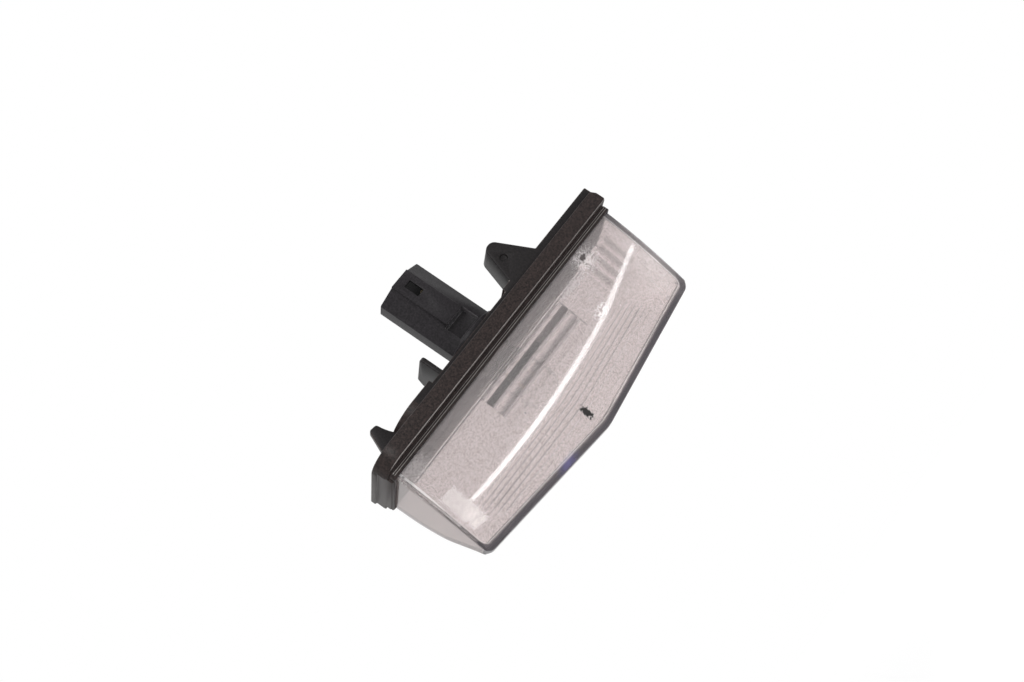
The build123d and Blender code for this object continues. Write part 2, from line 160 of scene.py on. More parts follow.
# Least part of a face's normal that points the right way: on a side, on an edge with a painted highlight,
# and on the undersides and flanks of the relief
side_facing = 0.9
highlight_facing = 0.55
relief_under_facing = 0.3
relief_flank_facing = 0.7

# Filament coil
coil_turns = 13.0
coil_wire_radius = 0.06
coil_points_per_turn = 20
coil_wire_sides = 6

# Lens mesh: counts of rows, columns and points, and steps and zones in millimetres
rows_per_flute = 20
flute_zone_bottom = -18.6
rib_step = 0.2
plain_step = 1.5
outer_rows = 40
tip_rows = 8
inner_low_rows = 20
far_plain_rows = 14
cap_points = 8
corner_zone = 6.0
corner_columns = 16
closest_columns = 0.035
inner_far_points = 160
outer_far_points = 200
# A point this close to an end lies on its end face
touch = 0.001
lens_measures = (
    "near_inside", "far_inside", "near_outside", "along_lamp", "down_lamp", "fine_down",
    "border", "border_tint", "border_line", "end_face", "frosted",
)

# Mesh finish, angles in degrees: faces below the flat angle become one, edges above the bevel angles are
# rounded, and edges below the smooth angles are shaded smooth
flat_angle = 0.5
bevel_angle = 42
bevel_segments = 2
lens_bevel_angle = 50
lens_bevel_segments = 3
smooth_angle = 40
lens_smooth_angle = 30
coil_smooth_angle = 60

# Lens finish
lens_colour = "#efe7e6"
acrylic_ior = 1.49
# Mottling of the near wall: its grain in millimetres, and the noise values at which it begins and is full
mottle_grain = 0.45
mottle_range = (0.44, 0.62)
# The painted shade of the border sets in between these values of the border measure, and its painted
# highlight line lies at this one
border_fade = (1.0, 1.2)
border_line_place = 0.92
faint_line = 0.8
# Shares of clearness: plain, in the painted shade of the border and on the end faces, and on the painted
# highlight lines
plain_clear = 0.85
hazed_clear = 0.6
line_clear = 0.6
gloss_roughness = 0.05
frost_roughness = 0.27
# Distances of the noise from its middle value at which a scratch begins and is full
scratch_range = (0.055, 0.02)

# Black mouldings: sizes of the dust and of the moulded grain in millimetres, and how deep the grain is
dust_size = 0.5
dust_range = (0.35, 0.7)
grain_size = 0.35
grain_depth = 0.05
grain_strength = 0.4
# Small pieces: size of the mottling in millimetres, and by what share it changes the gloss
gloss_mottle = 1.0
gloss_change = 0.2

# Camera fitted to the photograph: place in millimetres, picture axes, focal length in pixels
camera_place = (-124.689, -301.281, -60.377)
camera_right = (0.569845, -0.094279, -0.816326)
camera_down = (-0.724536, 0.411057, -0.553244)
camera_forward = (0.387716, 0.906721, 0.165930)
focal_pixels = 1400.0
picture_width = 1024
sensor_width = 36.0
camera_clip = 0.01

# Stage and light: places in millimetres, floor in metres
floor_level = -0.18
floor_size = 6.0
floor_fade = (0.25, 0.7)
soft_light = 0.6
lens_middle = (0.0, -6.0, -20.0)
# Suns: place, strength, and the angle in degrees that makes their shadows soft
suns = {
    "key_sun": ((-200.0, -900.0, 400.0), 1.2, 20),
    "top_sun": ((0.0, -200.0, 900.0), 1.1, 60),
}
# Lamps that show in the lens: both ends of their middle line (X, Z), width, and how bright they look
lamp_side = -150.0
bright_lamps = {
    "strip_light_low": ((6.2, -93.4), (66.0, -83.6), 4.3, 12.0),
    "strip_light_middle": ((66.0, -83.6), (98.0, -80.0), 4.6, 12.0),
    "strip_light_high": ((98.0, -80.0), (127.5, -67.9), 5.8, 12.0),
    "patch_light": ((1.0, -119.5), (3.1, -69.6), 7.0, 4.5),
}

# Marks on the outside of the near wall: middle (X, Z) and half size (X, Z) in millimetres, the share of the
# size that is fully covered, how ragged the rim is, the rim's grain in millimetres, how much of the lens it
# hides, its colour, and 1 where it is made of fine scratches
lens_marks = {
    "tar fleck": ((-1.6, -30.0), (0.95, 2.0), 0.8, 1.8, 0.55, 1.0, "#0f0a08", 0.0),
    "darker patch below the root": ((21.0, -9.9), (6.5, 1.5), 0.1, 2.2, 0.5, 0.4, "#8c8487", 0.0),
    # Painted highlights round the gate, mixed with chips
    "chips and painted highlights around the gate": ((28.4, -8.8), (2.3, 2.0), 0.9, 8.0, 0.28, 0.4, "#f4f0f0", 0.0),
    "dark spot of the gate": ((28.3, -7.9), (1.5, 1.0), 0.5, 1.6, 0.6, 0.95, "#33292a", 0.0),
    "scuff": ((20.5, -18.6), (3.4, 1.7), 0.4, 0.6, 0.9, 0.8, "#fbf8f8", 1.0),
    "upright scratch": ((35.5, -26.0), (0.16, 3.4), 0.2, 0.4, 1.0, 0.3, "#8f8687", 0.0),
    "dot": ((-11.6, -19.2), (0.35, 0.3), 0.4, 0.6, 0.5, 0.8, "#5c5255", 0.0),
    "chip": ((35.0, -29.3), (0.9, 0.45), 0.3, 1.2, 0.6, 0.7, "#8a7f7f", 0.0),
    "grime at the -X end": ((-38.5, -7.4), (5.0, 3.0), 0.3, 1.2, 0.8, 0.45, "#4f4a4b", 0.0),
    "speck at the -X end": ((-41.3, -6.7), (0.6, 0.7), 0.3, 1.0, 0.4, 0.8, "#2f2a2b", 0.0),
    # Painted light: the +X end made lighter
    "painted light at the +X end": ((40.0, -21.0), (8.0, 13.0), 0.0, 0.3, 2.0, 0.25, "#fdf6f4", 0.0),
    # Painted reflection: a blue tinge on the tip
    "painted blue reflection on the tip": ((-14.0, -33.4), (4.4, 1.8), 0.0, 0.5, 1.0, 0.45, "#6a66b8", 0.0),
}


def linear(hex_colour):
    """An sRGB hex colour as linear red, green, blue and alpha."""
    channels = [int(hex_colour[place:place + 2], 16) / 255 for place in (1, 3, 5)]
    return tuple(c / 12.92 if c <= 0.04045 else ((c + 0.055) / 1.055) ** 2.4 for c in channels) + (1.0,)


def add_node(tree, kind, settings=None, inputs=None):
    """One node with its settings. An input is a value, or a socket to link from."""
    node = tree.nodes.new(kind)
    for name, value in (settings or {}).items():
        setattr(node, name, value)
    for key, value in (inputs or {}).items():
        if isinstance(value, bpy.types.NodeSocket):
            tree.links.new(value, node.inputs[key])
        else:
            node.inputs[key].default_value = value
    return node


def new_material(name):
    """An empty material and its tree, ready for nodes."""
    material = bpy.data.materials.new(name)
    material.use_nodes = True
    material.node_tree.nodes.clear()
    return material, material.node_tree


def new_group(name, kind, inputs, output, output_kind):
    """An empty node group with these inputs and one output, and the sockets where its inputs come in."""
    tree = bpy.data.node_groups.new(name, kind)
    for label, socket_kind in inputs.items():
        tree.interface.new_socket(label, in_out="INPUT", socket_type=socket_kind)
    tree.interface.new_socket(output, in_out="OUTPUT", socket_type=output_kind)
    return tree, add_node(tree, "NodeGroupInput").outputs


def end_geometry(tree, geometry, material):
    """Ends a geometry tree: real geometry with its material goes to the output."""
    real = add_node(tree, "GeometryNodeRealizeInstances", None, {"Geometry": geometry}).outputs["Geometry"]
    coloured = add_node(
        tree, "GeometryNodeSetMaterial", None, {"Geometry": real, "Material": material}
    ).outputs["Geometry"]
    add_node(tree, "NodeGroupOutput", None, {"Geometry": coloured})


def put(name, mesh):
    """A new object for this mesh, at the origin."""
    piece = bpy.data.objects.new(name, mesh)
    bpy.context.scene.collection.objects.link(piece)
    return piece


def finished(piece, smooth_degrees):
    """Turns the modifiers into plain mesh, shades it smooth and keeps edges sharper than the angle."""
    graph = bpy.context.evaluated_depsgraph_get()
    mesh = bpy.data.meshes.new_from_object(piece.evaluated_get(graph))
    piece.modifiers.clear()
    piece.data = mesh
    mesh.name = piece.name
    mesh.shade_smooth()
    mesh.set_sharp_from_angle(angle=math.radians(smooth_degrees))
    return piece


def refined(node, name, edge_radius):
    """A copy of a CAD node with welded faces and small rounded edges, kept within the node's box."""
    shell = bmesh.new()
    shell.from_mesh(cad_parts[node].data)
    bmesh.ops.remove_doubles(shell, verts=shell.verts, dist=WELD)
    bmesh.ops.dissolve_limit(
        shell, angle_limit=math.radians(flat_angle), verts=shell.verts, edges=shell.edges
    )
    mesh = bpy.data.meshes.new(name)
    shell.to_mesh(mesh)
    shell.free()
    piece = put(name, mesh)
    if edge_radius:
        bevel = piece.modifiers.new("edge radius", "BEVEL")
        bevel.width = edge_radius * MM
        bevel.segments = bevel_segments
        bevel.limit_method = "ANGLE"
        bevel.angle_limit = math.radians(bevel_angle)
        bevel.use_clamp_overlap = False
    finished(piece, smooth_angle)
    low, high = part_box(node)
    for vert in piece.data.vertices:
        vert.co = [min(max(c, low[axis]), high[axis]) for axis, c in enumerate(vert.co)]
    return piece


# Lens shape
def turn(x, softness):
    """0 at the middle of the lens and 1 at its ends, with a soft bend in the middle."""
    reach = math.hypot(lens_half, softness) - softness
    return (np.hypot(x, softness) - softness) / reach


def near_face(x, z):
    """Outer face of the near wall: Y at X and Z, all in millimetres."""
    down = np.maximum(lens_top - z, 0)
    blade = peak_tip - blade_overrun + (corner_tip - peak_tip) * turn(x, near_soft_turn)
    share = down / (lens_top - blade)
    slope = near_slope + near_slope_turn * (x / lens_half) ** 2
    return lens_near + slope * down - 4 * near_bulge * share * (1 - share)


def tip_outline(x, half, lift, radius):
    """Height of the V-shaped tip at X, with a soft peak and rounded corners, lifted for the inside."""
    rise = (corner_tip - peak_tip) / lens_half
    lean = math.atan(rise)
    x = np.abs(x)
    line = peak_tip + lift + rise * x
    peak_centre = peak_tip + lift + peak_radius / math.cos(lean)
    peak = peak_centre - np.sqrt(np.maximum(peak_radius ** 2 - x ** 2, 0))
    line = np.where(x < peak_radius * math.sin(lean), peak, line)
    centre_x = half - radius
    centre_z = peak_tip + lift + rise * centre_x + radius / math.cos(lean)
    corner = centre_z - np.sqrt(np.maximum(radius ** 2 - (x - centre_x) ** 2, 0))
    return np.where(x > centre_x + radius * math.sin(lean), corner, line)


def smooth_through(points, places):
    """Values of a smooth curve through (place, value) points."""
    xs, ys = np.array(points, float).T
    slopes = np.gradient(ys, xs)
    index = np.clip(np.searchsorted(xs, places) - 1, 0, len(xs) - 2)
    width = xs[index + 1] - xs[index]
    t = (places - xs[index]) / width
    start = (1 + 2 * t) * (1 - t) ** 2 * ys[index] + t * (1 - t) ** 2 * width * slopes[index]
    end = t ** 2 * (3 - 2 * t) * ys[index + 1] + t ** 2 * (t - 1) * width * slopes[index + 1]
    return start + end


def far_curve(x, places):
    """Y and Z of the far wall's outer face at X, for shares of the way down."""
    blade = peak_tip - blade_overrun + (corner_tip - peak_tip) * turn(x, far_soft_turn)
    reach = lens_far - near_face(x, blade) - blade_thickness
    y = lens_far - reach * smooth_through(far_wall_steps, places)
    return y, lens_top + (blade - lens_top) * places


def inner_far_curve(x, bottom):
    """Shares of the way down, Y and Z of the far wall's inner face at X, to the bottom of the hollow."""
    places = np.linspace(0, 1, inner_far_points)
    y, z = far_curve(x, places)
    run_y, run_z = np.gradient(y), np.gradient(z)
    length = np.hypot(run_y, run_z)
    y = y + lens_wall * run_z / length
    z = z - lens_wall * run_y / length
    y[0], z[0] = lens_far - lens_wall, lens_top
    keep = z > bottom + blade_thickness
    return places[keep], y[keep], z[keep]


def slope_of_far_wall():
    """Unit vector square to the sloping middle of the far wall, pointing into the hollow."""
    y, z = far_curve(lens_half, np.array(far_slope))
    down = np.array([y[1] - y[0], z[1] - z[0]])
    down = down / np.hypot(*down)
    return 0, down[1], -down[0]


def lens_columns():
    """X of the mesh columns on the inside: close together at the ribs, flute ends and corners."""
    half = lens_half - end_wall
    columns = list(np.arange(-half + corner_zone, half - corner_zone, plain_step))
    columns += list(np.arange(rib_first, rib_first + rib_count * rib_pitch, rib_step))
    for end in flute_ends + (fine_end, -fine_end):
        columns += [end - flute_run_out, end, end + flute_run_out]
    corner = half - corner_zone * (1 - np.sin(np.linspace(0, math.pi / 2, corner_columns)))
    columns += list(corner) + list(-corner)
    columns = np.unique(np.round(columns, 3))
    close = np.concatenate(([True], np.diff(columns) > closest_columns))
    return columns[close]


def grid_faces(shell, points):
    """Quads between the points of a grid given as rows of X, Y, Z in millimetres."""
    rows = [[shell.verts.new(point * MM) for point in row] for row in points]
    for upper, lower in zip(rows, rows[1:]):
        for side in range(len(upper) - 1):
            shell.faces.new((upper[side], upper[side + 1], lower[side + 1], lower[side]))
    return [vert for row in rows for vert in row]


def blend_rows(first, last, count):
    """Points on straight lines between two lists of points, both ends included."""
    shares = np.linspace(0, 1, count + 2)[None, :, None]
    return first[:, None, :] * (1 - shares) + last[:, None, :] * shares


def close_cup(shell, near, far):
    """End walls and bottom of a cup whose near and far walls are rows of points."""
    grid_faces(shell, blend_rows(near[:, 0], far[:, 0], cap_points))
    grid_faces(shell, blend_rows(near[:, -1], far[:, -1], cap_points))
    grid_faces(shell, blend_rows(near[-1], far[-1], cap_points))


def outer_walls(columns):
    """Rows of points on the outside of the near wall and the far wall, from the root to the tip."""
    tip = tip_outline(columns, lens_half, 0, corner_radius)
    solid_top = tip + tip_solid
    upper = lens_top + (solid_top - lens_top) * np.linspace(0, 1, outer_rows)[:, None]
    lower = solid_top + (tip - solid_top) * np.linspace(0, 1, tip_rows)[1:, None]
    z = np.concatenate((np.full((1, len(tip)), lens_root), upper, lower))
    x = np.broadcast_to(columns, z.shape)
    near = np.stack((x, near_face(x, z), z), -1)
    far = near.copy()
    for column, place in enumerate(columns):
        path_y, path_z = far_curve(place, np.linspace(0, 1, outer_far_points))
        path_y = np.concatenate(([lens_far], path_y))
        path_z = np.concatenate(([lens_root], path_z))
        far[:, column, 1] = np.interp(-z[:, column], -path_z, path_y)
    return near, far


def inner_walls(columns):
    """The same for the inside, and how far down each point of the far wall lies for the fine flutes."""
    bottom = tip_outline(columns, lens_half - end_wall, tip_solid, inner_corner_radius)
    step = flute_pitch / rows_per_flute
    first = math.floor((-lens_top - flute_top) / step) * step + flute_top
    levels = -np.arange(first + step, -flute_zone_bottom, step)
    lower = levels[-1] + (bottom - levels[-1]) * np.linspace(0, 1, inner_low_rows)[1:, None]
    levels = np.concatenate(([lens_root, lens_top], levels))[:, None] + np.zeros_like(bottom)
    z = np.concatenate((levels, lower))
    x = np.broadcast_to(columns, z.shape)
    near = np.stack((x, near_face(x, z) + lens_wall, z), -1)
    far = near.copy()
    fine_down = np.zeros(z.shape)
    zone_rows = len(z) - 2 * far_plain_rows - 2
    for column, place in enumerate(columns):
        droop = fine_droops[int(place > 0)] * turn(place, far_soft_turn)
        places, y, height = inner_far_curve(place, bottom[column])
        zone_start = fine_first - fine_pitch / 2 + droop
        zone_end = min(zone_start + (fine_count + 0.5) * fine_pitch, places[-1] - fine_end_gap)
        stops = np.concatenate((
            np.linspace(0, zone_start, far_plain_rows, endpoint=False),
            np.linspace(zone_start, zone_end, zone_rows, endpoint=False),
            np.linspace(zone_end, places[-1], far_plain_rows),
        ))
        far[1:-1, column, 1] = np.interp(stops, places, y)
        far[1:-1, column, 2] = np.interp(stops, places, height)
        far[0, column, 1] = lens_far - lens_wall
        far[-1, column, 1] = near[-1, column, 1] + blade_thickness
        fine_down[1:-1, column] = stops - droop
    return near, far, fine_down


def measure_border(vert, layers):
    """Notes at a point of the outside how far it lies in the border, and how much painted shade and painted
    highlight it gets.
    """
    x, z = vert.co.x / MM, vert.co.z / MM
    side = int(x > 0)
    on_near = vert[layers["near_outside"]]
    from_tip = (z - tip_outline(x, lens_half, 0, corner_radius)) / tip_solid
    from_end = (lens_half - abs(x)) / end_strips[side] if on_near else from_tip
    end_face = abs(x) > lens_half - touch
    # Border: 2 at the outline, 1 at its inner edge and 0 further in
    turned = 1 + border_corner
    depth = min(from_tip, from_end)
    if on_near and max(from_tip, from_end) < turned:
        depth = turned - math.hypot(turned - from_tip, turned - from_end)
    if on_near or not end_face:
        vert[layers["border"]] = float(np.clip(2 - depth, 0, 2))
    # The border's painted shade is darkest round the tip, and turns to a painted highlight towards the root
    # at the -X end
    dark = 1 if side else float(np.interp(-z, [-height for height in strip_turn], (0, 1)))
    along_end = from_end < from_tip and from_tip > turned
    vert[layers["border_tint"]] = strip_tints[side] * dark if along_end else 1
    line = strip_lines[side] if side else strip_lines[side] * (1 - dark) + tip_line * dark
    vert[layers["border_line"]] = line if along_end else tip_line
    vert[layers["end_face"]] = float(end_face)


def lens_mesh():
    """Closed mesh of the lens, with marks on its walls and measures along them for the moulded rows."""
    inner_x = lens_columns()
    outer_x = inner_x * lens_half / (lens_half - end_wall)
    shell = bmesh.new()
    layers = {}
    for name in lens_measures:
        layers[name] = shell.verts.layers.float.new(name)
    round_edge = shell.edges.layers.float.new("bevel_weight_edge")

    near, far = outer_walls(outer_x)
    for vert in grid_faces(shell, near):
        vert[layers["near_outside"]] = 1
    grid_faces(shell, far)
    close_cup(shell, near, far)
    for vert in shell.verts:
        measure_border(vert, layers)
    outer_rim = (near[0], far[0])
    bmesh.ops.remove_doubles(shell, verts=shell.verts, dist=WELD)
    bmesh.ops.recalc_face_normals(shell, faces=shell.faces)
    for edge in shell.edges:
        if len(edge.link_faces) == 2 and edge.calc_face_angle() > math.radians(lens_bevel_angle):
            edge[round_edge] = 1

    near, far, fine_down = inner_walls(inner_x)
    frost_heights, frost_shares = zip(*frost_steps)
    for vert in grid_faces(shell, near):
        vert[layers["near_inside"]] = 1
        vert[layers["frosted"]] = float(np.interp(vert.co.z / MM, frost_heights, frost_shares))
    for vert, down in zip(grid_faces(shell, far), fine_down.ravel()):
        vert[layers["far_inside"]] = 1
        vert[layers["fine_down"]] = down
    close_cup(shell, near, far)

    # Rim of the root, between the outside and the inside
    for outer, inner in zip(outer_rim, (near[0], far[0])):
        grid_faces(shell, np.stack((outer, inner)))
    for end in (0, -1):
        outer_cap = blend_rows(outer_rim[0][None, end], outer_rim[1][None, end], cap_points)[0]
        inner_cap = blend_rows(near[0][None, end], far[0][None, end], cap_points)[0]
        grid_faces(shell, np.stack((outer_cap, inner_cap)))
    bmesh.ops.remove_doubles(shell, verts=shell.verts, dist=WELD)
    bmesh.ops.recalc_face_normals(shell, faces=shell.faces)
    for vert in shell.verts:
        vert[layers["along_lamp"]] = vert.co.x
        vert[layers["down_lamp"]] = -vert.co.z
    mesh = bpy.data.meshes.new("lens_moulding")
    shell.to_mesh(mesh)
    shell.free()
    return mesh


def moulded_rows_tree():
    """Geometry nodes that raise ridges in rows on the marked part of a surface."""
    measures = ("Across", "Along", "Mark")
    sizes = (
        "First", "Pitch", "Count", "Lean", "Crest Power", "Foot Power", "Height", "Start", "End", "Run Out",
    )
    sockets = {
        "Geometry": "NodeSocketGeometry", "Material": "NodeSocketMaterial", "Push": "NodeSocketVector",
    }
    sockets.update({name: "NodeSocketString" for name in measures + ("Keep As",)})
    sockets.update({name: "NodeSocketFloat" for name in sizes})
    tree, given = new_group("moulded_rows", "GeometryNodeTree", sockets, "Geometry", "NodeSocketGeometry")
    known = {name: given[name] for name in sizes}
    for name in measures:
        known[name] = add_node(
            tree, "GeometryNodeInputNamedAttribute", {"data_type": "FLOAT"}, {"Name": given[name]}
        ).outputs["Attribute"]
    steps = (
        # Place within a row: 0 at its upper foot and 1 at its lower foot
        ("from first", "SUBTRACT", "Across", "First"),
        ("in rows", "DIVIDE", "from first", "Pitch"),
        ("in row", "FRACT", "in rows", 0.0),
        # Share of the way from the crest to the nearer foot
        ("below crest", "SUBTRACT", "in row", "Lean"),
        ("lower side", "SUBTRACT", 1.0, "Lean"),
        ("down", "DIVIDE", "below crest", "lower side"),
        ("above crest", "SUBTRACT", "Lean", "in row"),
        ("up", "DIVIDE", "above crest", "Lean"),
        ("to foot", "MAXIMUM", "down", "up"),
        # Height of the ridge there
        ("fall", "POWER", "to foot", "Crest Power"),
        ("full ridge", "SUBTRACT", 1.0, "fall"),
        ("soft ridge", "POWER", "full ridge", "Foot Power"),
        ("ridge", "MULTIPLY", "soft ridge", "Height"),
        # Only in the counted rows, between the two ends, and on the marked part
        ("after first", "GREATER_THAN", "in rows", 0.0),
        ("before last", "LESS_THAN", "in rows", "Count"),
        ("counted", "MULTIPLY", "after first", "before last"),
        ("past start", "SUBTRACT", "Along", "Start"),
        ("to end", "SUBTRACT", "End", "Along"),
        ("from end", "MINIMUM", "past start", "to end"),
        ("run", "DIVIDE", "from end", "Run Out"),
        ("short run", "MINIMUM", "run", 1.0),
        ("within", "MAXIMUM", "short run", 0.0),
        ("on wall", "MULTIPLY", "counted", "Mark"),
        ("share", "MULTIPLY", "within", "on wall"),
        ("rise", "MULTIPLY", "ridge", "share"),
        ("thickness", "MULTIPLY", "soft ridge", "share"),
    )
    for name, operation, first, second in steps:
        inputs = {0: known.get(first, first), 1: known.get(second, second)}
        settings = {"operation": operation, "label": name}
        known[name] = add_node(tree, "ShaderNodeMath", settings, inputs).outputs[0]
    offset = add_node(
        tree, "ShaderNodeVectorMath", {"operation": "SCALE"}, {0: given["Push"], "Scale": known["rise"]}
    ).outputs["Vector"]
    kept = add_node(
        tree, "GeometryNodeStoreNamedAttribute", {"data_type": "FLOAT", "domain": "POINT"},
        {"Geometry": given["Geometry"], "Name": given["Keep As"], "Value": known["thickness"]},
    ).outputs["Geometry"]
    moved = add_node(
        tree, "GeometryNodeSetPosition", None, {"Geometry": kept, "Offset": offset}
    ).outputs["Geometry"]
    end_geometry(tree, moved, given["Material"])
    return tree


def coil_tree():
    """Geometry nodes that wind a wire into a coil along X."""
    sockets = {
        "Turns": "NodeSocketFloat", "Coil Radius": "NodeSocketFloat", "Wire Radius": "NodeSocketFloat",
        "Length": "NodeSocketFloat", "Start": "NodeSocketVector", "Material": "NodeSocketMaterial",
    }
    tree, given = new_group("wound_coil", "GeometryNodeTree", sockets, "Geometry", "NodeSocketGeometry")
    spiral = add_node(tree, "GeometryNodeCurveSpiral", None, {
        "Resolution": coil_points_per_turn, "Rotations": given["Turns"], "Height": given["Length"],
        "Start Radius": given["Coil Radius"], "End Radius": given["Coil Radius"],
    }).outputs["Curve"]
    round_wire = add_node(
        tree, "GeometryNodeCurvePrimitiveCircle", None,
        {"Resolution": coil_wire_sides, "Radius": given["Wire Radius"]},
    ).outputs["Curve"]
    wire = add_node(
        tree, "GeometryNodeCurveToMesh", None,
        {"Curve": spiral, "Profile Curve": round_wire, "Fill Caps": True},
    ).outputs["Mesh"]
    laid = add_node(
        tree, "GeometryNodeTransform", None,
        {"Geometry": wire, "Translation": given["Start"], "Rotation": (0, math.pi / 2, 0)},
    ).outputs["Geometry"]
    end_geometry(tree, laid, given["Material"])
    return tree


def set_inputs(modifier, values):
    """Sets a geometry nodes modifier's inputs by the identifiers of their sockets."""
    for socket in modifier.node_group.interface.items_tree:
        if socket.in_out == "INPUT" and socket.name in values:
            modifier[socket.identifier] = values[socket.name]


def make_lens(material):
    """The lens with its edges rounded and its flutes and ribs raised on the inside."""
    piece = put("lens_moulding", lens_mesh())
    bevel = piece.modifiers.new("edge radius", "BEVEL")
    bevel.width = lens_edge_radius * MM
    bevel.segments = lens_bevel_segments
    bevel.limit_method = "WEIGHT"
    bevel.use_clamp_overlap = False
    tree = moulded_rows_tree()
    across_near = {"Mark": "near_inside", "Push": (0, 1, 0), "Material": material}
    long_rows = {
        **across_near, "Across": "down_lamp", "Along": "along_lamp",
        "Start": flute_ends[0] * MM, "End": flute_ends[1] * MM, "Run Out": flute_run_out * MM,
    }
    fine_line = {
        **long_rows, **row_shapes["round"],
        "Pitch": line_pitch * MM, "Count": 1.0, "Height": line_height * MM,
    }
    rib_rows = {
        **across_near, **row_shapes["soft"], "Across": "along_lamp", "Along": "down_lamp",
        "Start": rib_ends[0] * MM, "End": rib_ends[1] * MM, "Run Out": rib_run_out * MM,
        "Pitch": rib_pitch * MM, "Count": float(rib_count),
    }
    fine_rows = {
        "Mark": "far_inside", "Push": slope_of_far_wall(), "Material": material,
        "Across": "fine_down", "Along": "along_lamp", "Pitch": fine_pitch,
        "Start": -fine_end * MM, "End": fine_end * MM, "Run Out": fine_run_out * MM,
    }
    rows = {
        "long flutes": {
            **long_rows, **row_shapes["saw tooth"], "First": flute_top * MM, "Pitch": flute_pitch * MM,
            "Count": float(flute_count), "Height": flute_height * MM,
        },
        # Rows of height 0 only paint shade: in the first flute, between the ribs and between the fine flutes
        "shade in the first flute": {
            **long_rows, **row_shapes["flat"], "Keep As": "flute_shade", "First": flute_shade_top * MM,
            "Pitch": flute_shade_pitch * MM, "Count": 1.0, "Height": 0.0, "End": flute_shade_end * MM,
        },
        "lip above the flutes": {**fine_line, "Keep As": "lip_thickness", "First": lip_top * MM},
        "seam below the root": {
            **fine_line, "Keep As": "seam_thickness", "First": seam_top * MM,
            "Start": seam_ends[0] * MM, "End": seam_ends[1] * MM,
        },
        "short ribs": {**rib_rows, "First": rib_first * MM, "Height": rib_height * MM},
        "shade between the ribs": {
            **rib_rows, "Keep As": "rib_shade", "First": (rib_first + rib_pitch / 2) * MM, "Height": 0.0,
        },
        "fine flutes": {
            **fine_rows, **row_shapes["round"], "First": fine_first, "Count": float(fine_count),
            "Height": fine_height * MM,
        },
        "shade between the fine flutes": {
            **fine_rows, **row_shapes["narrow"], "Keep As": "fine_shade",
            "First": fine_first - fine_pitch / 2, "Count": fine_count - 1.0, "Height": 0.0,
        },
    }
    for name, values in rows.items():
        modifier = piece.modifiers.new(name, "NODES")
        modifier.node_group = tree
        set_inputs(modifier, values)
    finished(piece, lens_smooth_angle)
    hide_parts("lens")
    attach(piece, "root")


def make_filament(material):
    """The bulb's filament as a fine coil, in the round space that its solid holds."""
    low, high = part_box("bulb_filament")
    middle = (low + high) / 2
    wire = coil_wire_radius * MM
    piece = put("bulb_filament_coil", bpy.data.meshes.new("bulb_filament_coil"))
    modifier = piece.modifiers.new("coil", "NODES")
    modifier.node_group = coil_tree()
    set_inputs(modifier, {
        "Turns": coil_turns, "Coil Radius": (high.z - low.z) / 2 - wire, "Wire Radius": wire,
        "Length": high.x - low.x - 2 * wire, "Start": (low.x + wire, middle.y, middle.z),
        "Material": material,
    })
    finished(piece, coil_smooth_angle)
    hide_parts("bulb_filament")
    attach(piece, "root")


# Materials
def lens_mark_tree():
    """Shader nodes for one mark on the near wall: a ragged oval with a soft rim, 1 inside and 0 outside."""
    sockets = {"Middle": "NodeSocketVector", "Half Size": "NodeSocketVector"}
    sockets.update({name: "NodeSocketFloat" for name in ("Solid", "Ragged", "Grain Scale", "Scratched")})
    tree, given = new_group("lens_mark", "ShaderNodeTree", sockets, "Mask", "NodeSocketFloat")
    place = add_node(tree, "ShaderNodeTexCoord").outputs["Object"]
    away = add_node(
        tree, "ShaderNodeVectorMath", {"operation": "SUBTRACT"}, {0: place, 1: given["Middle"]}
    ).outputs["Vector"]
    away = add_node(
        tree, "ShaderNodeVectorMath", {"operation": "DIVIDE"}, {0: away, 1: given["Half Size"]}
    ).outputs["Vector"]
    distance = add_node(tree, "ShaderNodeVectorMath", {"operation": "LENGTH"}, {0: away}).outputs["Value"]
    grain = add_node(
        tree, "ShaderNodeTexNoise", None, {"Vector": place, "Scale": given["Grain Scale"], "Detail": 3.0}
    ).outputs["Fac"]
    uneven = add_node(tree, "ShaderNodeMath", {"operation": "SUBTRACT"}, {0: grain, 1: 0.5}).outputs[0]
    ragged = add_node(
        tree, "ShaderNodeMath", {"operation": "MULTIPLY_ADD"}, {0: uneven, 1: given["Ragged"], 2: distance}
    ).outputs[0]
    mask = add_node(
        tree, "ShaderNodeMapRange", None, {"Value": ragged, "From Min": 1.0, "From Max": given["Solid"]}
    ).outputs["Result"]
    # Scratches lie where the grain passes its middle value
    from_line = add_node(tree, "ShaderNodeMath", {"operation": "ABSOLUTE"}, {0: uneven}).outputs[0]
    scratch = add_node(
        tree, "ShaderNodeMapRange", None,
        {"Value": from_line, "From Min": scratch_range[0], "From Max": scratch_range[1]},
    ).outputs["Result"]
    pattern = add_node(
        tree, "ShaderNodeMapRange", None, {"Value": given["Scratched"], "To Min": 1.0, "To Max": scratch}
    ).outputs["Result"]
    mask = add_node(tree, "ShaderNodeMath", {"operation": "MULTIPLY"}, {0: mask, 1: pattern}).outputs[0]
    add_node(tree, "NodeGroupOutput", None, {"Mask": mask})
    return tree


